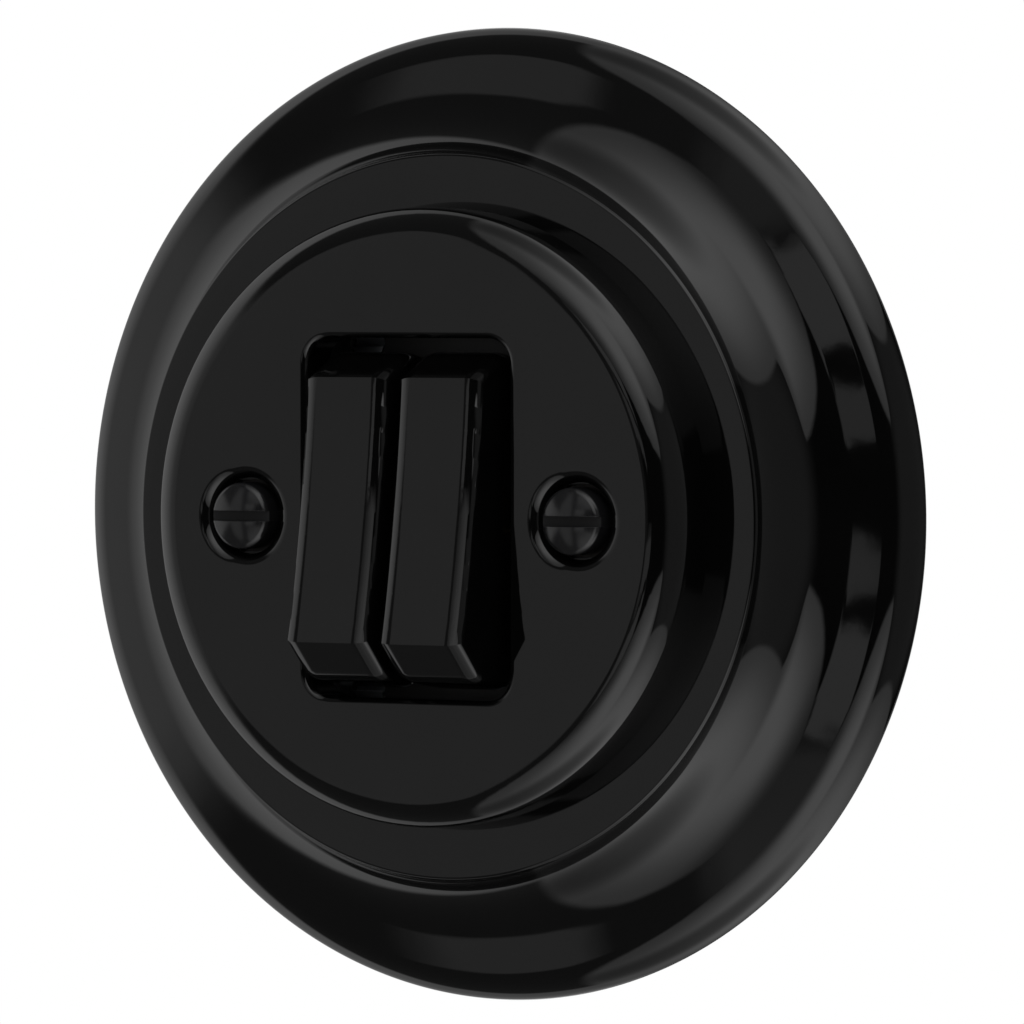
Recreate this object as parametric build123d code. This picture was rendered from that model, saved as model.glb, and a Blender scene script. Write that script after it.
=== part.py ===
from build123d import *
import os
from math import cos, radians, sin, tan

# Porcelain double switch for a flush wall box, in millimetres.
# Every piece is drawn lying on the wall: x to the right, y up and z out of the wall, towards
# the user. stand_up() turns it at the end, so that up is +Z and the front faces -Y.
# The origin is on the wall, midway between the two wall-box screws.

# Flat ring of the outer frame, under the cover
cover_radius = 33.1
ring_margin = 5.4             # how far the flat ring shows beyond the cover
ring_lap = 2.1                # how far the cover laps over the ring
ring_radius = cover_radius + ring_margin
ring_hole_radius = cover_radius - ring_lap

# Flank of the outer frame, from the ring down to the wall: a small round, a steep hollow cove,
# a short gentle slope and the round rim. Each runs smoothly into the next.
ring_edge_round = 0.35
cove_steep_angle = 82.0       # from flat, where the cove leaves the ring's edge
cove_round = 8.84
slope_angle = 10.0            # from flat, between cove and rim
slope_length = 3.2
rim_round = 4.0
frame_height = (ring_edge_round * (1 - cos(radians(cove_steep_angle)))
                + cove_round * (cos(radians(slope_angle)) - cos(radians(cove_steep_angle)))
                + slope_length * sin(radians(slope_angle))
                + rim_round * cos(radians(slope_angle)))

# Hollow back of the outer frame
ring_thickness = 4.5
frame_shoulder = 2.0          # from the ring's edge in to the hollow's upper corner
frame_foot_inset = 2.0        # from the ring's edge out to the hollow's edge at the wall

# Round cover
cover_rise = 7.2              # height above the flat ring
cover_edge_round = 3.5
cover_thickness = 4.5
spigot_gap = 0.4
spigot_depth = 2.0
spigot_wall = 2.0
cover_top = frame_height + cover_rise
cover_underside = cover_top - cover_thickness
spigot_radius = ring_hole_radius - spigot_gap

# Rocker caps
rocker_pitch = 11.7
cap_width = 10.2
cap_face_length = 28.4
cap_face_hollow = 0.5         # how deep the face is dished
cap_end_run = 3.5             # length of each sloping end, seen from the front
cap_end_angle = 54.0          # of the sloping end, from the face
cap_proud = 5.2               # face above the cover, before its dishing
cap_skirt_depth = 5.6         # skirt below the cover's face
cap_wall = 1.5
cap_end_round = 4.0           # between a sloping end and the wall below it
cap_crown_width = 1.2         # of the soft fall along the sides of the face, and its angle
cap_crown_angle = 22.0
cap_crown_round = 2.6         # between the face and that fall
cap_edge_round = 0.8          # between that fall and the side
rocker_tilt = 8.3             # each way from the middle

# Pins that the rockers turn on
pivot_sink = 1.5              # pin's axis below the cover's face
pin_radius = 1.0
pin_gap = 0.04
ear_thickness = 0.8
ear_width = 5.0
side_gap = 0.2                # each side of a part that moves between walls
pivot_height = cover_top - pivot_sink

# Opening in the cover, round the two caps
opening_side_gap = 1.7
opening_end_gap = 1.5
opening_corner = 2.8
opening_lip_round = 0.8
opening_width = rocker_pitch + cap_width + 2 * opening_side_gap
opening_height = cap_face_length + 2 * cap_end_run + 2 * opening_end_gap

# Cover screws, their washers and wells
cover_screw_spacing = 41.6
screw_head_radius = 3.6
screw_head_height = 4.0
screw_dome = 0.7              # rise of the head's top, from its edge to the middle
screw_rim_round = 0.7
screw_slot_width = 1.1
screw_slot_depth = 1.1
screw_head_proud = 1.4        # top of the dome above the cover's face
screw_shank_radius = 1.75
screw_grip = 7.0              # length that goes into the pillar
well_gap = 0.5
well_lip_round = 1.6
shank_gap = 0.35
washer_thickness = 0.5
washer_gap = 0.2
boss_radius = 6.2
boss_depth = 2.5

# Steel support plate
plate_edge_gap = 3.2          # from the plate's edge out to the frame's hollow at the wall
plate_radius = ring_radius + frame_foot_inset - plate_edge_gap
plate_thickness = 1.2
plate_flat_height = 62.0      # across its flat top and bottom
box_screw_spacing = 60.0      # standard wall-box screws
box_slot_width = 4.4
box_slot_length = 7.4
plate_ledge = 0.8             # that carries each long side of the housing
plate_window_corner = 2.0

# Threaded pillars
pillar_radius = 3.0
pillar_rivet_radius = 1.9
rivet_gap = 0.02
thread_gap = 0.03
pillar_thread_spare = 1.5     # hole beyond the end of the screw
well_radius = screw_head_radius + well_gap
screw_head_top = cover_top + screw_head_proud
washer_top = screw_head_top - screw_head_height
well_floor = washer_top - washer_thickness
boss_bottom = cover_underside - boss_depth

# Moulded front housing
housing_end_step = 1.0        # from the base's ends in to the housing's
housing_top = 9.5
housing_corner = 2.0
housing_fit = 0.2
stem_swing_room = 0.9         # beyond the stem's travel, in the housing's window

# Rocker carriers, their plungers and springs
stem_width = 4.8
stem_depth = 5.0
stem_length = 14.3            # from the pin's axis
hub_radius = 2.3
deck_length = 26.4
deck_width = 6.9
deck_bottom = 2.7
deck_thickness = 1.8
plunger_radius = 1.5
plunger_gap = 0.08
plunger_reach = 18.0          # pin's axis to the middle of the plunger's round tip
plunger_tail = 9.3            # pin's axis to the plunger's inner end
plunger_bore_end = 4.0        # pin's axis to the end of the bore
spring_wire = 0.35
spring_turns = 6
spring_side_gap = 0.1
spring_end_gap = 0.02

# Contact levers
lever_drop = 21.0             # rocker pin to lever edge
lever_tilt = 6.0              # each way from the middle
lever_length = 20.0
lever_width = 5.0
lever_thickness = 1.2
lever_lift = 0.15             # lever's underside above the edge that it rocks on
edge_round = 0.5
edge_gap = 0.05
lever_corner = 1.0
lever_height = pivot_height - lever_drop
contact_place = 8.5           # from the lever's middle to its silver contacts
moving_contact_radius = 1.2
moving_contact_height = 0.6
fixed_contact_radius = 1.5
fixed_contact_height = 0.8
contact_shank_radius = 0.8
contact_gap = 0.05

# Moulded base behind the wall plane
base_width = 42.0
base_height = 44.0
base_depth = 23.0
base_corner = 5.0
chamber_width = 7.6
chamber_height = 25.0
chamber_clearance = 0.2       # under and round the brass pieces

# Brass terminals
strip_thickness = 0.8
strip_width = 5.0
block_size = 6.0
block_length = 8.0
block_top_depth = 5.0         # top of the block behind the wall plane
end_block_inset = 4.5         # from the base's end to the middle of an upper or lower block
side_block_inset = 4.7        # from the base's side to the middle of a common block
end_block_place = base_height / 2 - end_block_inset
side_block_place = base_width / 2 - side_block_inset
strip_inner_end = 6.9
common_strip_depth = 10.2     # top of the common strip behind the wall plane
common_edge_width = 5.4
wire_hole_radius = 1.4
wire_funnel_radius = 1.9
clamp_radius = 1.5
clamp_head_radius = 2.1
clamp_head_height = 1.6
clamp_head_gap = 0.3
clamp_tip_gap = 0.2
clamp_slot_width = 0.8
clamp_slot_depth = 0.8

# Screws that hold the housing, plate and base together, outside the terminal pockets
housing_screw_wall = 0.97     # of the base, between a pocket and a screw
housing_screw_edge = 2.4      # from a screw's axis to the housing's edge
housing_screw_radius = 1.2
housing_screw_head = 2.0
housing_screw_head_height = 1.5
housing_screw_length = 16.0
housing_screw_gap = 0.15
housing_screw_x = (rocker_pitch / 2 + block_size / 2 + chamber_clearance + housing_screw_wall
                   + housing_screw_radius)
housing_height = base_height - 2 * housing_end_step
housing_screw_y = housing_height / 2 - housing_screw_edge
housing_width = 2 * (housing_screw_x + housing_screw_edge)
window_screw_edge = 2.1       # from a screw's axis to the end of the plate's window
plate_window_width = housing_width - 2 * plate_ledge
plate_window_height = 2 * (housing_screw_y - window_screw_edge)

# Levels and places that several pieces share
cap_face_level = pivot_sink + cap_proud
cap_slope_level = cap_face_level - cap_end_run * tan(radians(cap_end_angle))
cap_skirt_level = pivot_sink - cap_skirt_depth
deck_top = deck_bottom + deck_thickness
moving_contact_drop = (contact_place * sin(radians(lever_tilt))
                       + moving_contact_height * cos(radians(lever_tilt))
                       + moving_contact_radius * sin(radians(lever_tilt))
                       - lever_lift * cos(radians(lever_tilt)))
fixed_contact_top = lever_height - moving_contact_drop - contact_gap
end_strip_top = fixed_contact_top - fixed_contact_height
place_match = 0.01            # an edge this near to a known place is the one meant
sides = {"left": -1, "right": 1}


def block(x_size, y_size, z_low, z_high, x=0, y=0):
    """A box between two heights, centred at x, y."""
    return Pos(x, y, (z_low + z_high) / 2) * Box(x_size, y_size, z_high - z_low)


def rod(radius, z_low, z_high, x=0, y=0):
    """A round rod that points out of the wall."""
    return Pos(x, y, (z_low + z_high) / 2) * Cylinder(radius, z_high - z_low)


def cross_rod(radius, x_low, x_high, y=0, z=0):
    """A round rod that lies from left to right."""
    return Pos((x_low + x_high) / 2, y, z) * Rot(0, 90, 0) * Cylinder(radius, x_high - x_low)


def upright_rod(radius, y_low, y_high, x=0, z=0):
    """A round rod that runs from bottom to top."""
    return Pos(x, (y_low + y_high) / 2, z) * Rot(90, 0, 0) * Cylinder(radius, y_high - y_low)


def rounded_plate(width, height, corner, z_low, z_high):
    """A rectangle with round corners, between two heights."""
    return Pos(0, 0, z_low) * extrude(RectangleRounded(width, height, corner), z_high - z_low)


def together(pieces):
    """Like pieces that share one name, kept as separate solids."""
    return Compound([solid for piece in pieces for solid in piece.solids()])


def turned(points_and_arcs):
    """A solid turned about z from a closed outline of lines and arcs in the x-z plane."""
    return revolve(Plane.XZ * make_face(Curve() + points_and_arcs), Axis.Z)


def arc_by_slope(centre, radius, slope_from, slope_to):
    """An arc from one surface slope to another; a negative radius gives a hollow."""
    slopes = [slope_from, (slope_from + slope_to) / 2, slope_to]
    points = [(centre[0] + radius * sin(radians(s)), centre[1] + radius * cos(radians(s)))
              for s in slopes]
    return ThreePointArc(*points)


def wall_frame():
    """The outer surround, with its flat ring, cove and round rim, and a hollow back."""
    steep = radians(cove_steep_angle)
    gentle = radians(slope_angle)
    edge = arc_by_slope((ring_radius, frame_height - ring_edge_round), ring_edge_round,
                        0, cove_steep_angle)
    cove_start = edge @ 1
    cove_centre = (cove_start.X + cove_round * sin(steep), cove_start.Y + cove_round * cos(steep))
    cove = arc_by_slope(cove_centre, -cove_round, cove_steep_angle, slope_angle)
    slope_end = cove @ 1 + Vector(cos(gentle), -sin(gentle)) * slope_length
    rim_centre = (slope_end.X - rim_round * sin(gentle), slope_end.Y - rim_round * cos(gentle))
    rim = arc_by_slope(rim_centre, rim_round, slope_angle, 90)
    ring_bottom = frame_height - ring_thickness
    outline = [edge, cove, Line(cove @ 1, slope_end), rim,
               Polyline(rim @ 1,
                        (ring_radius + frame_foot_inset, 0),
                        (ring_radius - frame_shoulder, ring_bottom),
                        (ring_hole_radius, ring_bottom),
                        (ring_hole_radius, frame_height),
                        edge @ 0)]
    return turned(outline)


def cover_plate():
    """The raised round cover, with the rocker opening, the screw wells and a locating spigot."""
    round_centre = (cover_radius - cover_edge_round, cover_top - cover_edge_round)
    shoulder = arc_by_slope(round_centre, cover_edge_round, 0, 90)
    spigot_end = frame_height - spigot_depth
    outline = [shoulder,
               Polyline(shoulder @ 1,
                        (cover_radius, frame_height),
                        (spigot_radius, frame_height),
                        (spigot_radius, spigot_end),
                        (spigot_radius - spigot_wall, spigot_end),
                        (spigot_radius - spigot_wall, cover_underside),
                        (0, cover_underside),
                        (0, cover_top),
                        shoulder @ 0)]
    cover = turned(outline)
    for side in sides.values():
        cover += rod(boss_radius, boss_bottom, cover_underside, side * cover_screw_spacing / 2)
    for side in sides.values():
        x = side * cover_screw_spacing / 2
        cover -= rod(well_radius, well_floor, cover_top, x)
        cover -= rod(screw_shank_radius + shank_gap, boss_bottom, well_floor, x)
    cover -= rounded_plate(opening_width, opening_height, opening_corner,
                           cover_underside, cover_top)
    well_lips = [edge for wire in lip_wires(cover)[:-1] for edge in wire.edges()]
    cover = fillet(well_lips, well_lip_round)
    return fillet(lip_wires(cover)[-1].edges(), opening_lip_round)


def lip_wires(cover):
    """Outlines of the holes in the cover's face, the rocker opening last."""
    face = cover.faces().filter_by(Axis.Z).sort_by(Axis.Z)[-1]
    return sorted(face.inner_wires(), key=lambda wire: wire.length)


def cover_screws():
    """Two screws with tall domed heads and a straight slot, which hold the cover to the pillars."""
    dome_radius = (screw_head_radius ** 2 + screw_dome ** 2) / (2 * screw_dome)
    screws = []
    for side in sides.values():
        x = side * cover_screw_spacing / 2
        ball = Pos(x, 0, screw_head_top - dome_radius) * Sphere(dome_radius)
        head = rod(screw_head_radius, washer_top, screw_head_top, x) & ball
        rim = head.edges().filter_by(lambda e: e.is_closed).sort_by(Axis.Z)[-1]
        head = fillet(rim, screw_rim_round)
        slot = block(2 * well_radius, screw_slot_width, screw_head_top - screw_slot_depth,
                     screw_head_top, x)
        shank = rod(screw_shank_radius, boss_bottom - screw_grip, washer_top, x)
        screws.append(head - slot + shank)
    return together(screws)


def screw_washers():
    """Two fibre washers under the heads of the cover screws."""
    washers = []
    for side in sides.values():
        x = side * cover_screw_spacing / 2
        outer = rod(well_radius - washer_gap, well_floor, washer_top, x)
        washers.append(outer - rod(screw_shank_radius + washer_gap, well_floor, washer_top, x))
    return together(washers)


def rocker_cap():
    """One rocker cap about its pin: dished face, sloping ends, crowned sides, hollow back."""
    face_end = cap_face_length / 2
    cap_end = face_end + cap_end_run
    slope = radians(cap_end_angle)
    face = ThreePointArc((face_end, cap_face_level), (0, cap_face_level - cap_face_hollow),
                         (-face_end, cap_face_level))
    skirt = Polyline((-face_end, cap_face_level), (-cap_end, cap_slope_level),
                     (-cap_end, cap_skirt_level), (cap_end, cap_skirt_level),
                     (cap_end, cap_slope_level), (face_end, cap_face_level))
    side_view = Plane.YZ * make_face(Curve() + [face, skirt])
    cap = extrude(side_view, cap_width / 2, both=True)
    cap = fillet(cap.edges().filter_by(Axis.X).group_by(Axis.Z)[1], cap_end_round)
    for first_or_last in (0, -1):
        flank = cap.faces().sort_by(Axis.X)[first_or_last]
        cap = cap.chamfer(cap_crown_width * tan(radians(cap_crown_angle)), cap_crown_width,
                          edges_above_skirt(flank), flank)
    cap = fillet(edges_at_side(cap, cap_width / 2 - cap_crown_width), cap_crown_round)
    cap = fillet(edges_at_side(cap, cap_width / 2), cap_edge_round)
    inner_end = cap_end - cap_wall
    sloped_inset = face_end - cap_wall / sin(slope)
    inner_top_end = sloped_inset + (cap_face_level - deck_top) / tan(slope)
    inner_slope_level = cap_face_level - (inner_end - sloped_inset) * tan(slope)
    hollow_view = Plane.YZ * make_face(Polyline(
        (-inner_end, cap_skirt_level), (-inner_end, inner_slope_level), (-inner_top_end, deck_top),
        (inner_top_end, deck_top), (inner_end, inner_slope_level), (inner_end, cap_skirt_level),
        close=True))
    return cap - extrude(hollow_view, cap_width / 2 - cap_wall, both=True)


def edges_above_skirt(shape):
    """The edges that rise above the lower border of a cap's skirt."""
    return shape.edges().filter_by(lambda e: e.bounding_box().max.Z > cap_skirt_level + cap_wall)


def edges_at_side(cap, distance):
    """A cap's edges above its lower border that keep one distance from its middle plane."""
    return edges_above_skirt(cap).filter_by(
        lambda e: all(abs(abs((e @ part).X) - distance) < place_match for part in (0, 0.5)))


def rocker_carrier():
    """The moulded carrier inside a cap: deck, hub round the pin, and stem with plunger bore."""
    carrier = block(deck_width, deck_length, deck_bottom, deck_top)
    carrier += block(stem_width, 2 * hub_radius, 0, deck_bottom)
    carrier += cross_rod(hub_radius, -stem_width / 2, stem_width / 2)
    carrier += block(stem_width, stem_depth, -stem_length, 0)
    carrier -= cross_rod(pin_radius + pin_gap, -stem_width, stem_width)
    return carrier - rod(plunger_radius + plunger_gap, -stem_length, -plunger_bore_end)


def plunger():
    """A round-nosed plunger that slides in the carrier's stem."""
    tip = Pos(0, 0, -plunger_reach) * Sphere(plunger_radius)
    return tip + rod(plunger_radius, -plunger_reach, -plunger_tail)


def plunger_spring():
    """A coil spring between the plunger's inner end and the end of its bore."""
    coil_radius = plunger_radius + plunger_gap - spring_side_gap - spring_wire / 2
    low = -plunger_tail + spring_end_gap + spring_wire / 2
    high = -plunger_bore_end - spring_end_gap - spring_wire / 2
    coil = Helix((high - low) / spring_turns, high - low, coil_radius)
    section = Plane(coil @ 0, z_dir=coil % 0) * Circle(spring_wire / 2)
    return Pos(0, 0, low) * sweep(section, coil, is_frenet=True)


def contact_lever():
    """A rocking brass lever about its edge, with a groove underneath and two rivet holes."""
    outline = RectangleRounded(lever_width, lever_length, lever_corner)
    lever = Pos(0, 0, lever_lift) * extrude(outline, lever_thickness)
    lever -= cross_rod(edge_round + edge_gap, -lever_width, lever_width)
    for end in (-1, 1):
        lever -= rod(contact_shank_radius + rivet_gap, lever_lift, lever_lift + lever_thickness,
                     0, end * contact_place)
    return lever


def lever_contacts():
    """Two silver rivets in the lever, with their faces below it."""
    rivets = []
    for end in (-1, 1):
        y = end * contact_place
        face = rod(moving_contact_radius, lever_lift - moving_contact_height, lever_lift, 0, y)
        rivets.append(face + rod(contact_shank_radius, lever_lift, lever_lift + lever_thickness, 0, y))
    return together(rivets)


def fixed_contacts():
    """Four silver rivets in the terminal strips, facing the levers' rivets."""
    rivets = []
    for side in sides.values():
        for end in (-1, 1):
            x = side * rocker_pitch / 2
            y = end * contact_place
            face = rod(fixed_contact_radius, end_strip_top, fixed_contact_top, x, y)
            shank = rod(contact_shank_radius, end_strip_top - strip_thickness, end_strip_top, x, y)
            rivets.append(face + shank)
    return together(rivets)


def end_terminal(side, end):
    """An upper or lower terminal: contact strip and clamp block, folded and bored."""
    x = side * rocker_pitch / 2
    y = end * end_block_place
    block_top = -block_top_depth
    strip_middle = end * (strip_inner_end + end_block_place) / 2
    terminal = block(strip_width, end_block_place - strip_inner_end,
                     end_strip_top - strip_thickness, end_strip_top, x, strip_middle)
    terminal += block(block_size, block_size, block_top - block_length, block_top, x, y)
    terminal -= rod(contact_shank_radius + rivet_gap, end_strip_top - strip_thickness,
                    end_strip_top, x, end * contact_place)
    terminal -= rod(wire_hole_radius, block_top - block_length, block_top, x, y)
    clamp_ends = sorted([y, y + end * block_size])
    return terminal - upright_rod(clamp_radius + thread_gap, *clamp_ends, x, clamp_height())


def common_terminal(side):
    """A common terminal: the edge that the lever rocks on, its strip and its clamp block."""
    x = side * rocker_pitch / 2
    block_x = side * side_block_place
    block_top = -block_top_depth
    strip_top = -common_strip_depth
    strip_start = x - side * common_edge_width / 2
    terminal = block(abs(block_x - strip_start), strip_width, strip_top - strip_thickness, strip_top,
                     (block_x + strip_start) / 2)
    terminal += block(common_edge_width, 2 * edge_round, strip_top, lever_height, x)
    terminal += cross_rod(edge_round, x - common_edge_width / 2, x + common_edge_width / 2,
                          0, lever_height)
    terminal += block(block_size, block_size, block_top - block_length, block_top, block_x)
    terminal -= rod(wire_hole_radius, block_top - block_length, block_top, block_x)
    clamp_ends = sorted([block_x, block_x + side * block_size])
    return terminal - cross_rod(clamp_radius + thread_gap, *clamp_ends, 0, clamp_height())


def clamp_height():
    """Height of the clamp screws' axes, at the middle of the blocks."""
    return -block_top_depth - block_length / 2


def clamp_screw():
    """One clamp screw along x, drawn from the middle of its block outwards."""
    head_start = block_size / 2 + clamp_head_gap
    tip = wire_hole_radius + clamp_tip_gap
    head_end = head_start + clamp_head_height
    screw = cross_rod(clamp_radius, tip, head_start)
    screw += cross_rod(clamp_head_radius, head_start, head_end)
    slot = block(clamp_slot_depth, 2 * clamp_head_radius, -clamp_slot_width / 2,
                 clamp_slot_width / 2, head_end - clamp_slot_depth / 2)
    return screw - slot


def clamp_places():
    """Where the six clamp blocks are, and which way each clamp screw points, in degrees."""
    places = []
    for side in sides.values():
        for end in (-1, 1):
            places.append((side * rocker_pitch / 2, end * end_block_place, end * 90))
        places.append((side * side_block_place, 0, 90 - side * 90))
    return places


def terminal_screws():
    """The six clamp screws of the terminals."""
    return together([Pos(x, y, clamp_height()) * Rot(0, 0, turn) * clamp_screw()
                     for x, y, turn in clamp_places()])


def mechanism_base():
    """The moulded base: lever chambers, terminal pockets, wire funnels and screw holes."""
    base = rounded_plate(base_width, base_height, base_corner, -base_depth, 0)
    spare = 2 * chamber_clearance
    pocket = block_size + spare
    pocket_floor = -block_top_depth - block_length - chamber_clearance
    strip_floor = end_strip_top - strip_thickness
    common_floor = -common_strip_depth - strip_thickness
    for side in sides.values():
        x = side * rocker_pitch / 2
        block_x = side * side_block_place
        base -= block(chamber_width, chamber_height, strip_floor, 0, x)
        base -= block(chamber_width, 2 * strip_inner_end - spare, common_floor, 0, x)
        base -= block(abs(block_x - x), strip_width + spare, common_floor, 0, (block_x + x) / 2)
        for end in (-1, 1):
            base -= block(strip_width + spare, end_block_place - chamber_height / 2 + spare,
                          strip_floor, 0, x, end * (end_block_place + chamber_height / 2) / 2)
    for x, y, turn in clamp_places():
        base -= block(pocket, pocket, pocket_floor, 0, x, y)
        base -= rod(wire_funnel_radius, -base_depth, pocket_floor, x, y)
        reach = cross_rod(clamp_head_radius + chamber_clearance, 0, block_size * 2)
        base -= Pos(x, y, clamp_height()) * Rot(0, 0, turn) * reach
    for x in (-housing_screw_x, housing_screw_x):
        for y in (-housing_screw_y, housing_screw_y):
            base -= rod(housing_screw_radius + thread_gap, housing_screw_end() - chamber_clearance,
                        0, x, y)
    return base


def housing_screw_end():
    """Height of the lower end of the housing screws."""
    return housing_top - housing_screw_length


def pivot_housing():
    """The front housing: it covers the chambers, and its thin ears carry the rockers' pins."""
    housing = rounded_plate(housing_width, housing_height, housing_corner,
                            plate_thickness, housing_top)
    housing += rounded_plate(plate_window_width - 2 * housing_fit,
                             plate_window_height - 2 * housing_fit, plate_window_corner,
                             0, plate_thickness)
    stem_travel = stem_length * sin(radians(rocker_tilt)) + stem_depth / 2
    window_height = 2 * (stem_travel + stem_swing_room)
    ear_inner = stem_width / 2 + side_gap
    for side in sides.values():
        x = side * rocker_pitch / 2
        for ear in (-1, 1):
            ear_x = x + ear * (ear_inner + ear_thickness / 2)
            housing += block(ear_thickness, ear_width, housing_top, pivot_height, ear_x)
            housing += cross_rod(ear_width / 2, ear_x - ear_thickness / 2,
                                 ear_x + ear_thickness / 2, 0, pivot_height)
        housing -= block(2 * ear_inner, window_height, 0, housing_top, x)
        housing -= cross_rod(pin_radius + rivet_gap, x - cap_width / 2, x + cap_width / 2,
                             0, pivot_height)
    for x in (-housing_screw_x, housing_screw_x):
        for y in (-housing_screw_y, housing_screw_y):
            housing -= rod(housing_screw_head + housing_screw_gap,
                           housing_top - housing_screw_head_height, housing_top, x, y)
            housing -= rod(housing_screw_radius + housing_screw_gap, plate_thickness,
                           housing_top, x, y)
    return housing


def pivot_pins():
    """Two steel pins, each through a pair of ears and one carrier."""
    reach = stem_width / 2 + side_gap + ear_thickness
    return together([cross_rod(pin_radius, side * rocker_pitch / 2 - reach,
                               side * rocker_pitch / 2 + reach, 0, pivot_height)
                     for side in sides.values()])


def housing_screws():
    """Four screws through the housing and the plate into the base."""
    screws = []
    for x in (-housing_screw_x, housing_screw_x):
        for y in (-housing_screw_y, housing_screw_y):
            screw = rod(housing_screw_radius, housing_screw_end(), housing_top, x, y)
            screw += rod(housing_screw_head, housing_top - housing_screw_head_height,
                         housing_top, x, y)
            slot = block(2 * housing_screw_head, clamp_slot_width,
                         housing_top - clamp_slot_depth, housing_top, x, y)
            screws.append(screw - slot)
    return together(screws)


def support_plate():
    """The steel plate on the wall: window, wall-box slots, pillar holes and screw holes."""
    disc = Circle(plate_radius) & Rectangle(2 * plate_radius, plate_flat_height)
    plate = extrude(disc, plate_thickness)
    plate -= rounded_plate(plate_window_width, plate_window_height, plate_window_corner,
                           0, plate_thickness)
    slot = extrude(SlotOverall(box_slot_length, box_slot_width), plate_thickness)
    for side in sides.values():
        plate -= Pos(side * box_screw_spacing / 2, 0, 0) * slot
        plate -= rod(pillar_rivet_radius + rivet_gap, 0, plate_thickness,
                     side * cover_screw_spacing / 2)
    for x in (-housing_screw_x, housing_screw_x):
        for y in (-housing_screw_y, housing_screw_y):
            plate -= rod(housing_screw_radius + housing_screw_gap, 0, plate_thickness, x, y)
    return plate


def threaded_pillars():
    """Two brass pillars riveted to the plate, threaded for the cover screws."""
    pillars = []
    for side in sides.values():
        x = side * cover_screw_spacing / 2
        pillar = rod(pillar_radius, plate_thickness, boss_bottom, x)
        pillar += rod(pillar_rivet_radius, 0, plate_thickness, x)
        hole_bottom = boss_bottom - screw_grip - pillar_thread_spare
        pillars.append(pillar - rod(screw_shank_radius + thread_gap, hole_bottom, boss_bottom, x))
    return together(pillars)


def stand_up(piece):
    """Turns a piece from lying on the wall to its upright place."""
    return Rot(90, 0, 0) * piece


def save(name, piece):
    """Writes one named piece in its upright place."""
    export_step(stand_up(piece), f"parts/{name}.step")


os.makedirs("parts", exist_ok=True)
save("wall_frame", wall_frame())
save("cover_plate", cover_plate())
save("cover_screws", cover_screws())
save("screw_washers", screw_washers())
save("support_plate", support_plate())
save("threaded_pillars", threaded_pillars())
save("pivot_housing", pivot_housing())
save("pivot_pins", pivot_pins())
save("housing_screws", housing_screws())
save("mechanism_base", mechanism_base())
save("fixed_contacts", fixed_contacts())
save("terminal_screws", terminal_screws())
for side_name, side_sign in sides.items():
    gang_x = side_sign * rocker_pitch / 2
    at_pin = Pos(gang_x, 0, pivot_height) * Rot(-rocker_tilt, 0, 0)
    at_lever = Pos(gang_x, 0, lever_height) * Rot(lever_tilt, 0, 0)
    save(f"{side_name}_rocker", at_pin * rocker_cap())
    save(f"{side_name}_rocker_carrier", at_pin * rocker_carrier())
    save(f"{side_name}_plunger", at_pin * plunger())
    save(f"{side_name}_plunger_spring", at_pin * plunger_spring())
    save(f"{side_name}_contact_lever", at_lever * contact_lever())
    save(f"{side_name}_lever_contacts", at_lever * lever_contacts())
    save(f"{side_name}_upper_terminal", end_terminal(side_sign, 1))
    save(f"{side_name}_lower_terminal", end_terminal(side_sign, -1))
    save(f"{side_name}_common_terminal", common_terminal(side_sign))
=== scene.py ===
from math import cos, radians, sin

import bmesh
import bpy
from mathutils import Matrix, Vector


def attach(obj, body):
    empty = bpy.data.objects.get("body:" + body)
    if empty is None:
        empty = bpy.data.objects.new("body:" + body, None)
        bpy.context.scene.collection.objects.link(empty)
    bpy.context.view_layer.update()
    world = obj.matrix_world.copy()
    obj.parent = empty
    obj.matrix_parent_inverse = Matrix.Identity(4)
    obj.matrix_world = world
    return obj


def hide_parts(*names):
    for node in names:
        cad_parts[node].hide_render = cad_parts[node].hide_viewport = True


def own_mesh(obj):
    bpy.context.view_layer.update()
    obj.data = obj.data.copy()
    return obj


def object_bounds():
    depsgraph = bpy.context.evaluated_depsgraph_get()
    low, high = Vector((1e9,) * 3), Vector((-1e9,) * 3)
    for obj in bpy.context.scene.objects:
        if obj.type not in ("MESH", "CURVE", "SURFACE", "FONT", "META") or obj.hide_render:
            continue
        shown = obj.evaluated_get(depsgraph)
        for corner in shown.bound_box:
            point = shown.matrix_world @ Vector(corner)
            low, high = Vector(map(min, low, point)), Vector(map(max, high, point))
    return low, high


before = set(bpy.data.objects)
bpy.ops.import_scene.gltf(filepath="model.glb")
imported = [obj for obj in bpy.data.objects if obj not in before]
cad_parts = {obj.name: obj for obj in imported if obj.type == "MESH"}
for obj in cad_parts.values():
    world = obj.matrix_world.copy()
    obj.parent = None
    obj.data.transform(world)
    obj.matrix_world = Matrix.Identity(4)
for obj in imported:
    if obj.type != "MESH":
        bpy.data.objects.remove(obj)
cad_low, cad_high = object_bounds()

# Outer surround
# One piece of porcelain, jiggered on a wheel, dipped in black glaze and fired standing on its
# back rim. It lies against the wall and is held by the cover that presses on its flat ring.


def linear(hex_code):
    """Linear colour of an sRGB hex value."""
    channels = [int(hex_code[start:start + 2], 16) / 255 for start in (1, 3, 5)]
    return [c / 12.92 if c <= 0.04045 else ((c + 0.055) / 1.055) ** 2.4 for c in channels] + [1.0]


def add_node(tree, kind, inputs=None, **settings):
    """Adds a shader node. An input is a value, a socket, or a node whose first output is used."""
    node = tree.nodes.new("ShaderNode" + kind)
    for option, value in settings.items():
        setattr(node, option, value)
    for socket, value in (inputs or {}).items():
        if isinstance(value, bpy.types.Node):
            tree.links.new(value.outputs[0], node.inputs[socket])
        elif isinstance(value, bpy.types.NodeSocket):
            tree.links.new(value, node.inputs[socket])
        else:
            node.inputs[socket].default_value = value
    return node


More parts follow.
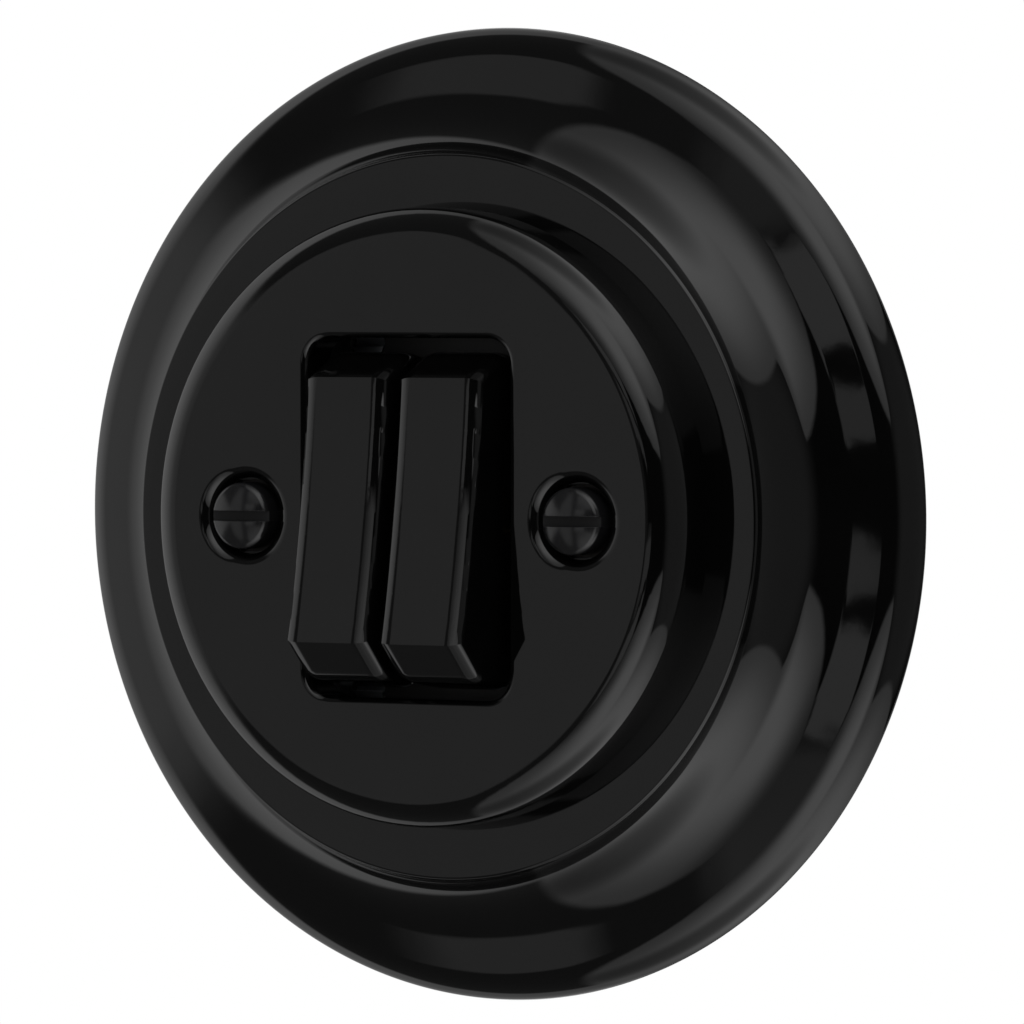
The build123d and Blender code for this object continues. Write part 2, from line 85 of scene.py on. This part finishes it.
def start_finish(name, roughness, metallic=0.0):
    """A new material: its tree, its shader and the coordinates of the piece, in metres."""
    finish = bpy.data.materials.new(name)
    finish.use_nodes = True
    tree = finish.node_tree
    tree.nodes.clear()
    shader = add_node(tree, "BsdfPrincipled", {"Roughness": roughness, "Metallic": metallic})
    add_node(tree, "OutputMaterial", {"Surface": shader})
    place = add_node(tree, "TexCoord").outputs["Object"]
    return finish, tree, shader, place


def lay_finish(tree, shader, pattern, tones, relief, stops=(0.0, 1.0)):
    """Colours a finish from its first tone to its second by a pattern, and gives it its relief."""
    colour = add_node(tree, "ValToRGB", {"Fac": pattern})
    for element, tone, stop in zip(colour.color_ramp.elements, tones, stops):
        element.color = linear(tone)
        element.position = stop
    tree.links.new(colour.outputs["Color"], shader.inputs["Base Color"])
    tree.links.new(relief.outputs["Normal"], shader.inputs["Normal"])


# Glossy black glaze over white porcelain: nearly black in itself, so that it shows the room.
# The fired glaze lies a little uneven, in soft waves some millimetres long, with a faint
# orange peel on them, and is a touch duller on the crests of the waves, where it is thin.
glaze_tones = ("#020202", "#050505")
glaze_wave_length, glaze_wave_height = 0.0075, 0.000022
glaze_peel_length, glaze_peel_height = 0.0016, 0.0000012
wave_trough, wave_crest = 0.3, 0.7
glaze_smooth, glaze_dull = 0.025, 0.05
black_glaze, tree, shader, place = start_finish("black_glazed_porcelain", roughness=0.035)
waves = add_node(tree, "TexNoise", {"Vector": place, "Scale": 1 / glaze_wave_length,
                                    "Detail": 1.0, "Roughness": 0.4})
peel = add_node(tree, "TexNoise", {"Vector": place, "Scale": 1 / glaze_peel_length, "Detail": 2.0})
gloss = add_node(tree, "MapRange", {"Value": waves, "From Min": wave_trough, "From Max": wave_crest,
                                    "To Min": glaze_smooth, "To Max": glaze_dull})
wavy = add_node(tree, "Bump", {"Height": waves, "Distance": glaze_wave_height})
peeled = add_node(tree, "Bump", {"Height": peel, "Distance": glaze_peel_height, "Normal": wavy})
lay_finish(tree, shader, waves, glaze_tones, peeled)
tree.links.new(gloss.outputs["Result"], shader.inputs["Roughness"])


def slope_arc(centre, radius, first_slope, last_slope, steps):
    """Outline points from one surface slope to another. A negative radius gives a hollow."""
    slopes = [radians(first_slope + (last_slope - first_slope) * step / steps) for step in range(steps + 1)]
    return [Vector((centre.x + radius * sin(slope), centre.y + radius * cos(slope))) for slope in slopes]


# The surround is turned from its outline, wall side at 0: flat ring, small round, steep hollow
# cove, gentle slope and round rim, with the hollow back that lets the mechanism in.
ring_radius, ring_hole_radius = 0.0385, 0.031
ring_edge_round = 0.00035
cove_steep, cove_round = 82.0, 0.00884
slope_fall, slope_length = 10.0, 0.0032
rim_round, rim_end = 0.004, 90.0
ring_thickness = 0.0045
back_shoulder, back_foot = 0.002, 0.002
edge_steps, cove_steps, rim_steps, turn_steps = 14, 30, 20, 480
arris_round, arris_steps, arris_turn = 0.0003, 3, radians(30)
surround_height = (ring_edge_round * (1 - cos(radians(cove_steep)))
                   + cove_round * (cos(radians(slope_fall)) - cos(radians(cove_steep)))
                   + slope_length * sin(radians(slope_fall)) + rim_round * cos(radians(slope_fall)))
steep_side = Vector((sin(radians(cove_steep)), cos(radians(cove_steep))))
gentle_side = Vector((sin(radians(slope_fall)), cos(radians(slope_fall))))
ring_centre = Vector((ring_radius, surround_height - ring_edge_round))
ring_edge = slope_arc(ring_centre, ring_edge_round, 0.0, cove_steep, edge_steps)
cove = slope_arc(ring_edge[-1] + steep_side * cove_round, -cove_round, cove_steep, slope_fall, cove_steps)
slope_end = cove[-1] + Vector((gentle_side.y, -gentle_side.x)) * slope_length
rim = slope_arc(slope_end - gentle_side * rim_round, rim_round, slope_fall, rim_end, rim_steps)
ring_back = surround_height - ring_thickness
back = [Vector((ring_radius + back_foot, 0)), Vector((ring_radius - back_shoulder, ring_back)),
        Vector((ring_hole_radius, ring_back)), Vector((ring_hole_radius, surround_height))]
outline = ring_edge + cove[1:] + rim + back
turned_clay = bmesh.new()
corners = [turned_clay.verts.new((point.x, -point.y, 0)) for point in outline]
stretches = [turned_clay.edges.new((corners[index - 1], corner)) for index, corner in enumerate(corners)]
bmesh.ops.spin(turned_clay, geom=corners + stretches, cent=(0, 0, 0), axis=(0, 1, 0), angle=radians(360),
               steps=turn_steps, use_merge=True)
bmesh.ops.recalc_face_normals(turned_clay, faces=turned_clay.faces)
arrises = [edge for edge in turned_clay.edges if edge.calc_face_angle() > arris_turn]
bmesh.ops.bevel(turned_clay, geom=arrises, offset=arris_round, offset_type="OFFSET", affect="EDGES",
                segments=arris_steps, profile=0.5, material=-1)
surround_mesh = bpy.data.meshes.new("porcelain_surround")
turned_clay.to_mesh(surround_mesh)
turned_clay.free()
surround_mesh.shade_smooth()
surround = bpy.data.objects.new("porcelain_surround", surround_mesh)
bpy.context.scene.collection.objects.link(surround)
surround_mesh.materials.append(black_glaze)
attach(surround, "root")
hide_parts("wall_frame")

# The kiln shelf would stick to glaze, so the flat foot that stands on it is wiped bare before
# firing. It shows the fine white porcelain, dry to the touch and a little grey from handling.
bare_tones = ("#c3bfb5", "#dedbd2")
handling_patch = 0.012
bare_grain, bare_grain_height = 0.0005, 0.000006
foot_depth = arris_round / 4
bare_porcelain, tree, shader, place = start_finish("bare_porcelain", roughness=0.62)
patches = add_node(tree, "TexNoise", {"Vector": place, "Scale": 1 / handling_patch, "Detail": 5.0})
grains = add_node(tree, "TexNoise", {"Vector": place, "Scale": 1 / bare_grain, "Detail": 2.0})
dry = add_node(tree, "Bump", {"Height": grains, "Distance": bare_grain_height})
lay_finish(tree, shader, patches, bare_tones, dry)
surround_mesh.materials.append(bare_porcelain)
for face in surround_mesh.polygons:
    if face.center.y > -foot_depth:
        face.material_index = 1

# Round cover
# A second porcelain piece, pressed in a mould with its rocker opening, screw wells and
# locating ring, then glazed like the surround. Its two screws hold both against the wall.


def dress(finish, *names):
    """Gives the finish to whole pieces of the frame."""
    for name in names:
        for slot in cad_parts[name].material_slots:
            slot.material = finish


dress(black_glaze, "cover_plate")

# Rocker caps
# Two slip-cast caps in the same black glaze. They are small and were glazed by hand, so the
# coat is even and mirror-like, and only its edges break the light.
sides = ("left", "right")
cap_wave_length, cap_wave_height = 0.006, 0.00001
cap_glaze, tree, shader, place = start_finish("black_glazed_caps", roughness=0.03)
waves = add_node(tree, "TexNoise", {"Vector": place, "Scale": 1 / cap_wave_length, "Detail": 1.0})
wavy = add_node(tree, "Bump", {"Height": waves, "Distance": cap_wave_height})
lay_finish(tree, shader, waves, glaze_tones, wavy)
dress(cap_glaze, *[f"{side}_rocker" for side in sides])

# Cover screws
# Turned brass screws with domed, slotted heads, lacquered black so that they vanish into the
# glaze. The lacquer is a little softer in its shine than the porcelain. Dust roughens it in the
# slots, and there its shine is also turned down, as painted shade.
lacquer_tones = ("#0a0a0b", "#141415")
lacquer_grain, lacquer_grain_height = 0.0004, 0.000002
lacquer_gloss, dusty_gloss = 0.14, 0.45
lacquer_shine, slot_shade_shine = 0.5, 0.24
slot_half, dust_and_shade_fade = 0.00055, 0.000011
screw_edge_round, edge_samples = 0.00012, 4
screw_lacquer, tree, shader, place = start_finish("black_screw_lacquer", lacquer_gloss)
grain = add_node(tree, "TexNoise", {"Vector": place, "Scale": 1 / lacquer_grain, "Detail": 3.0})
edge = add_node(tree, "Bevel", {"Radius": screw_edge_round}, samples=edge_samples)
grained = add_node(tree, "Bump", {"Height": grain, "Distance": lacquer_grain_height, "Normal": edge})
lay_finish(tree, shader, grain, lacquer_tones, grained)
height = add_node(tree, "SeparateXYZ", {0: place}).outputs["Z"]
off_slot = add_node(tree, "Math", {0: height}, operation="ABSOLUTE")
# In the slot the lacquer turns rough from dust, and its shine is turned down as painted shade.
for socket, dusty_and_shaded, clean in (("Roughness", dusty_gloss, lacquer_gloss),
                             ("Specular IOR Level", slot_shade_shine, lacquer_shine)):
    dust_and_shade = add_node(tree, "MapRange", {"Value": off_slot, "From Min": slot_half - dust_and_shade_fade,
                                       "From Max": slot_half, "To Min": dusty_and_shaded, "To Max": clean})
    tree.links.new(dust_and_shade.outputs["Result"], shader.inputs[socket])
dress(screw_lacquer, "cover_screws")

# Screw washers
# Punched from sheets of black vulcanised fibre, they keep the screw heads from cracking the
# glaze. The cut edge shows a dry, slightly hairy sheet.
fibre_tones = ("#151312", "#2b2724")
fibre_length, fibre_height = 0.0008, 0.00002
fibre_sheet, tree, shader, place = start_finish("black_vulcanised_fibre", roughness=0.7)
hairs = add_node(tree, "TexNoise", {"Vector": place, "Scale": 1 / fibre_length, "Detail": 5.0})
matted = add_node(tree, "Bump", {"Height": hairs, "Distance": fibre_height})
lay_finish(tree, shader, hairs, fibre_tones, matted)
dress(fibre_sheet, "screw_washers")

# Support plate and steel screws
# The plate is stamped from cold-rolled strip and zinc plated, and the housing and clamp screws
# are plated with it. Rolling leaves fine lines along the strip, and the zinc a soft grey cloud.
zinc_tones = ("#9ea2a8", "#c4c7ca")
zinc_cloud, zinc_bright, zinc_dull = 0.006, 0.24, 0.42
rolling_line, rolling_depth = 0.0003, 0.000006
rolled_stretch = (0.06, 1.0, 1.0)
plate_edge_round = 0.00015
bright_zinc, tree, shader, place = start_finish("bright_zinc_plate", roughness=0.32, metallic=1.0)
stretch = add_node(tree, "Mapping", {"Vector": place, "Scale": rolled_stretch})
lines = add_node(tree, "TexNoise", {"Vector": stretch, "Scale": 1 / rolling_line, "Detail": 3.0})
clouds = add_node(tree, "TexNoise", {"Vector": place, "Scale": 1 / zinc_cloud, "Detail": 4.0})
gloss = add_node(tree, "MapRange", {"Value": clouds, "To Min": zinc_bright, "To Max": zinc_dull})
edge = add_node(tree, "Bevel", {"Radius": plate_edge_round}, samples=edge_samples)
rolled = add_node(tree, "Bump", {"Height": lines, "Distance": rolling_depth, "Normal": edge})
lay_finish(tree, shader, clouds, zinc_tones, rolled)
tree.links.new(gloss.outputs["Result"], shader.inputs["Roughness"])
dress(bright_zinc, "support_plate", "housing_screws", "terminal_screws")

# Brass pieces
# Pillars, plungers, levers and terminals are turned, stamped or drilled from plain brass and
# tumbled. They keep faint tool lines and a few darker patches where fingers touched them.
brass_tones, brass_stops = ("#a9803f", "#d6b069"), (0.35, 0.65)
tarnish_patch, tarnish_dull, brass_bright = 0.004, 0.4, 0.2
tool_line, tool_line_depth = 0.00025, 0.000004
tooled_stretch = (1.0, 0.08, 1.0)
brass_edge_round = 0.00012
plain_brass, tree, shader, place = start_finish("tumbled_brass", roughness=0.28, metallic=1.0)
stretch = add_node(tree, "Mapping", {"Vector": place, "Scale": tooled_stretch})
lines = add_node(tree, "TexNoise", {"Vector": stretch, "Scale": 1 / tool_line, "Detail": 3.0})
patches = add_node(tree, "TexNoise", {"Vector": place, "Scale": 1 / tarnish_patch, "Detail": 5.0,
                                      "Roughness": 0.65})
gloss = add_node(tree, "MapRange", {"Value": patches, "To Min": tarnish_dull, "To Max": brass_bright})
edge = add_node(tree, "Bevel", {"Radius": brass_edge_round}, samples=edge_samples)
tooled = add_node(tree, "Bump", {"Height": lines, "Distance": tool_line_depth, "Normal": edge})
lay_finish(tree, shader, patches, brass_tones, tooled, brass_stops)
tree.links.new(gloss.outputs["Result"], shader.inputs["Roughness"])
dress(plain_brass, "threaded_pillars")
for side in sides:
    dress(plain_brass, f"{side}_plunger", f"{side}_contact_lever", f"{side}_upper_terminal",
          f"{side}_lower_terminal", f"{side}_common_terminal")

# Silver contacts
# Solid silver rivets, headed cold in the levers and strips. New silver is bright with a soft
# bloom, and the faces are a little matt from the press.
silver_tones = ("#b9b5ab", "#dedcd6")
bloom_patch, bloom_height = 0.0007, 0.000004
contact_silver, tree, shader, place = start_finish("contact_silver", roughness=0.3, metallic=1.0)
bloom = add_node(tree, "TexNoise", {"Vector": place, "Scale": 1 / bloom_patch, "Detail": 4.0})
pressed = add_node(tree, "Bump", {"Height": bloom, "Distance": bloom_height})
lay_finish(tree, shader, bloom, silver_tones, pressed)
dress(contact_silver, "fixed_contacts", *[f"{side}_lever_contacts" for side in sides])

# Front housing
# Moulded in one shot from black phenolic powder, a hard thermoset. The mould leaves it half
# matt, with fine grains of filler just under the skin.
phenolic_tones = ("#141313", "#232120")
filler_grain, filler_height = 0.0005, 0.000008
housing_edge_round = 0.0002
phenolic, tree, shader, place = start_finish("black_phenolic_moulding", roughness=0.42)
grains = add_node(tree, "TexNoise", {"Vector": place, "Scale": 1 / filler_grain, "Detail": 4.0})
edge = add_node(tree, "Bevel", {"Radius": housing_edge_round}, samples=edge_samples)
skin = add_node(tree, "Bump", {"Height": grains, "Distance": filler_height, "Normal": edge})
lay_finish(tree, shader, grains, phenolic_tones, skin)
dress(phenolic, "pivot_housing")

# Mechanism base
# Moulded from grey urea resin, which stands the heat of a switching arc. It is paler and drier
# than the housing, with cloudy flow marks and a fine grain.
urea_tones = ("#7d7c77", "#989790")
flow_mark = 0.009
urea_grain, urea_grain_height = 0.0006, 0.00001
base_edge_round = 0.00025
urea, tree, shader, place = start_finish("grey_urea_moulding", roughness=0.5)
flow = add_node(tree, "TexNoise", {"Vector": place, "Scale": 1 / flow_mark, "Detail": 5.0})
grains = add_node(tree, "TexNoise", {"Vector": place, "Scale": 1 / urea_grain, "Detail": 3.0})
edge = add_node(tree, "Bevel", {"Radius": base_edge_round}, samples=edge_samples)
skin = add_node(tree, "Bump", {"Height": grains, "Distance": urea_grain_height, "Normal": edge})
lay_finish(tree, shader, flow, urea_tones, skin)
dress(urea, "mechanism_base")

# Rocker carriers
# Moulded in black nylon, so that nothing pale shows beside the caps, they sit in the caps and
# turn on the pins. Nylon is a little waxy, with faint greyish flow marks near its gates.
nylon_tones = ("#101011", "#1c1c1e")
nylon_mark, nylon_mark_height = 0.004, 0.00002
carrier_edge_round = 0.0002
black_nylon, tree, shader, place = start_finish("black_nylon", roughness=0.4)
marks = add_node(tree, "TexNoise", {"Vector": place, "Scale": 1 / nylon_mark, "Detail": 3.0})
edge = add_node(tree, "Bevel", {"Radius": carrier_edge_round}, samples=edge_samples)
waxy = add_node(tree, "Bump", {"Height": marks, "Distance": nylon_mark_height, "Normal": edge})
lay_finish(tree, shader, marks, nylon_tones, waxy)
dress(black_nylon, *[f"{side}_rocker_carrier" for side in sides])

# Pins and springs
# Ground silver-steel pins, and coils of bright drawn wire. Both carry very fine lines round or
# along them and a thin film of oil.
steel_tones = ("#8c8f93", "#b6b9bd")
drawn_line, drawn_line_depth = 0.0002, 0.000003
bright_steel, tree, shader, place = start_finish("ground_and_drawn_steel", roughness=0.22, metallic=1.0)
lines = add_node(tree, "TexNoise", {"Vector": place, "Scale": 1 / drawn_line, "Detail": 4.0})
ground = add_node(tree, "Bump", {"Height": lines, "Distance": drawn_line_depth})
lay_finish(tree, shader, lines, steel_tones, ground)
dress(bright_steel, "pivot_pins", *[f"{side}_plunger_spring" for side in sides])

# Each spring sits between the end of its bore and the plunger, and in the switch it shortens as
# the plunger slides in. Here the frame's spring is copied into a mesh of its own, which moves
# with its rocker unchanged.
for side in sides:
    coil = bpy.data.objects.new(f"{side}_coil_spring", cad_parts[f"{side}_plunger_spring"].data.copy())
    bpy.context.scene.collection.objects.link(coil)
    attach(coil, f"{side}_rocker")
    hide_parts(f"{side}_plunger_spring")
    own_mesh(coil)

# Floor
# A plain pale sheet below the switch, which takes its soft shadow. Further out it fades into
# the white of the room, and from below it is clear, so that the switch shows from there too.
floor_pale = "#e9e8e6"
floor_drop, floor_half = 0.085, 6.0
fade_start, fade_end = 0.30, 0.75
bpy.ops.mesh.primitive_plane_add(size=2 * floor_half)
floor = bpy.context.object
floor.name = "studio_floor"
floor.data.transform(Matrix.Translation((0, 0, cad_low.z - floor_drop)))
pale_floor, tree, shader, place = start_finish("pale_floor", roughness=0.8)
shader.inputs["Base Color"].default_value = linear(floor_pale)
shader.inputs["Specular IOR Level"].default_value = 0.0
reach = add_node(tree, "VectorMath", {0: place}, operation="LENGTH")
fade = add_node(tree, "MapRange", {"Value": reach.outputs["Value"], "From Min": fade_start,
                                   "From Max": fade_end}, interpolation_type="SMOOTHSTEP")
seen = add_node(tree, "LightPath").outputs["Is Camera Ray"]
share = add_node(tree, "Math", {0: fade, 1: seen}, operation="MULTIPLY")
white = add_node(tree, "Emission", {"Strength": 1.0})
faded = add_node(tree, "MixShader", {0: share, 1: shader, 2: white})
from_below = add_node(tree, "NewGeometry").outputs["Backfacing"]
clear = add_node(tree, "BsdfTransparent")
one_sided = add_node(tree, "MixShader", {0: from_below, 1: faded, 2: clear})
output = next(node for node in tree.nodes if node.type == "OUTPUT_MATERIAL")
tree.links.new(one_sided.outputs[0], output.inputs["Surface"])
floor.data.materials.append(pale_floor)
floor.visible_glossy = False

# Studio room
# White to the camera. The glaze mirrors what a studio puts round a glossy piece. A direction in
# the room is given by how far right, how far front and how far off eye level it points.
room = bpy.data.worlds.new("studio_room")
bpy.context.scene.world = room
room.use_nodes = True
room_tree = room.node_tree
room_tree.nodes.clear()
around = add_node(room_tree, "TexCoord").outputs["Generated"]
direction = add_node(room_tree, "SeparateXYZ", {0: around})
right = direction.outputs["X"]
front = add_node(room_tree, "Math", {0: direction.outputs["Y"], 1: -1.0}, operation="MULTIPLY")
level = add_node(room_tree, "Math", {0: direction.outputs["Z"]}, operation="ABSOLUTE")


def lit_area(*changes):
    """Brightness of an area: the product of smooth changes, each over a span of one measure."""
    brightness = 1.0
    for measure, (start, end), (first, last) in changes:
        change = add_node(room_tree, "MapRange", {"Value": measure, "From Min": start, "From Max": end,
                                                  "To Min": first, "To Max": last},
                          interpolation_type="SMOOTHSTEP")
        brightness = add_node(room_tree, "Math", {0: brightness, 1: change}, operation="MULTIPLY")
    return brightness


def join_areas(operation, *areas):
    """Areas of the room joined by one operation, one after another."""
    joined = areas[0]
    for area in areas[1:]:
        joined = add_node(room_tree, "Math", {0: joined, 1: area}, operation=operation)
    return joined


# Two soft boxes on the viewer's right, one above and one below eye level, come closer to it in
# front. They are dimmer towards the left, behind the switch, overhead and along their edge.
side_split = (-0.33, -0.28)
box_brightness = 1.45
box_edge_turn, box_edge_levels = (0.52, 0.72), (0.50, 0.21)
box_edge_blur = (0.0, 0.03)
box_edge_fade, box_edge_share = (0.0, 0.35), 0.40
box_left_fade, box_left_share = (-0.30, 0.25), 0.38
box_rear_fade, box_rear_share = (-0.85, 0.10), 0.70
box_top_fade, box_top_share = (0.85, 1.0), 0.38
box_edge = lit_area((front, box_edge_turn, box_edge_levels))
past_edge = add_node(room_tree, "Math", {0: level, 1: box_edge}, operation="SUBTRACT")
soft_boxes = lit_area((right, side_split, (0.0, box_brightness)),
                      (right, box_left_fade, (box_left_share, 1.0)),
                      (front, box_rear_fade, (box_rear_share, 1.0)),
                      (level, box_top_fade, (1.0, box_top_share)),
                      (past_edge, box_edge_blur, (0.0, 1.0)),
                      (past_edge, box_edge_fade, (box_edge_share, 1.0)))

# The grey wall between the boxes is nearly dark but for its far right.
wall_rise, wall_brightness = (0.55, 0.85), (0.01, 0.17)
grey_wall = lit_area((right, wall_rise, wall_brightness),
                     (past_edge, box_edge_blur, (1.0, 0.0)),
                     (right, side_split, (0.0, 1.0)))

# The dim left side has a window, which is lower and darker towards the front, and a low grey
# panel farther in front. Both end where the dark screen round the camera starts.
window_top, window_fall, window_blur = 0.70, -0.69, (0.0, 0.12)
window_front_fade, window_brightness = (0.34, 0.87), (0.68, 0.27)
window_rear_fade, window_rear_share = (-0.60, 0.20), 0.35
panel_side, panel_brightness = (-0.44, -0.40), 0.27
panel_start, panel_top = (0.70, 0.75), (0.43, 0.50)
screen_start = (0.88, 0.94)
left_brightness = 0.085
window_edge = add_node(room_tree, "Math", {0: front, 1: window_fall, 2: window_top},
                       operation="MULTIPLY_ADD")
below_edge = add_node(room_tree, "Math", {0: window_edge, 1: level}, operation="SUBTRACT")
window = lit_area((right, side_split, (1.0, 0.0)),
                  (below_edge, window_blur, (0.0, 1.0)),
                  (front, window_front_fade, window_brightness),
                  (front, screen_start, (1.0, 0.0)),
                  (front, window_rear_fade, (window_rear_share, 1.0)))
grey_panel = lit_area((right, panel_side, (panel_brightness, 0.0)),
                      (front, panel_start, (0.0, 1.0)),
                      (front, screen_start, (1.0, 0.0)),
                      (level, panel_top, (1.0, 0.0)))
dim_left = lit_area((right, side_split, (left_brightness, 0.0)))

# A white backdrop hangs behind the switch. In front, to the left of the camera, lie two ragged
# grey strips, one nearer to eye level and one farther from it.
backdrop_start = (-0.82, -0.74)
rag_scale, rag_width = 45.0, 0.06
strips_left, strips_right, strips_front = (-0.36, -0.32), (-0.14, -0.10), (0.86, 0.90)
far_strip_start, far_strip_end, far_strip_brightness = (0.148, 0.158), (0.235, 0.260), 0.50
near_strip_start, near_strip_end, near_strip_brightness = (0.070, 0.078), (0.124, 0.134), 0.40
backdrop = lit_area((front, backdrop_start, (1.0, 0.0)))
clutter = add_node(room_tree, "TexNoise", {"Vector": around, "Scale": rag_scale, "Detail": 3.0})
ragged = add_node(room_tree, "Math", {0: clutter, 1: rag_width, 2: level}, operation="MULTIPLY_ADD")
far_strip = lit_area((ragged, far_strip_start, (0.0, far_strip_brightness)),
                     (ragged, far_strip_end, (1.0, 0.0)))
near_strip = lit_area((ragged, near_strip_start, (0.0, near_strip_brightness)),
                      (ragged, near_strip_end, (1.0, 0.0)))
beside_camera = lit_area((right, strips_left, (0.0, 1.0)),
                         (right, strips_right, (1.0, 0.0)),
                         (front, strips_front, (0.0, 1.0)))
strips = join_areas("MULTIPLY", beside_camera, join_areas("MAXIMUM", far_strip, near_strip))

# Glaze and metal mirror all of these, and matt pieces take one plain light from all sides.
plain_light = 0.75
left_side = join_areas("MAXIMUM", window, grey_panel)
mirrored = join_areas("MAXIMUM", join_areas("ADD", soft_boxes, grey_wall, left_side, dim_left),
                      backdrop, strips)
path = add_node(room_tree, "LightPath")
in_glaze = join_areas("MAXIMUM", path.outputs["Is Glossy Ray"], path.outputs["Is Transmission Ray"])
lit = add_node(room_tree, "Mix", {0: in_glaze, 2: plain_light, 3: mirrored})
strength = add_node(room_tree, "Mix", {0: path.outputs["Is Camera Ray"], 2: lit, 3: 1.0})
sky = add_node(room_tree, "Background", {"Color": (1.0, 1.0, 1.0, 1.0), "Strength": strength})
add_node(room_tree, "OutputWorld", {"Surface": sky})

# Soft overhead lamp
# It shapes the matt pieces and draws the shadow on the floor. The glaze shows only the room.
lamp_size, lamp_power = 0.6, 3.0
lamp_place = Vector((0.35, -0.45, 0.60))
lamp = bpy.data.lights.new("overhead_lamp", "AREA")
lamp.size = lamp_size
lamp.energy = lamp_power
overhead = bpy.data.objects.new("overhead_lamp", lamp)
overhead.location = lamp_place
overhead.rotation_euler = lamp_place.to_track_quat("Z", "Y").to_euler()
overhead.visible_glossy = False
bpy.context.scene.collection.objects.link(overhead)

# Camera
# A long lens about a metre away, some 32 degrees to the right of the switch and just above it.
camera_turn, camera_lift = radians(31.76), radians(1.55)
camera_distance, camera_lens, film_width = 1.0, 325.3, 36.0
nearest_seen, farthest_seen = 0.05, 20.0
aim_right, aim_up = 0.00098, 0.00025
camera_data = bpy.data.cameras.new("photo_camera")
camera_data.sensor_width = film_width
camera_data.lens = camera_lens
camera_data.clip_start = nearest_seen
camera_data.clip_end = farthest_seen
camera = bpy.data.objects.new("photo_camera", camera_data)
turned = Matrix.Rotation(camera_turn, 4, "Z") @ Matrix.Rotation(radians(90) - camera_lift, 4, "X")
camera.matrix_world = turned @ Matrix.Translation((aim_right, aim_up, camera_distance))
bpy.context.scene.collection.objects.link(camera)
bpy.context.scene.camera = camera
bpy.context.scene.view_settings.view_transform = "Standard"
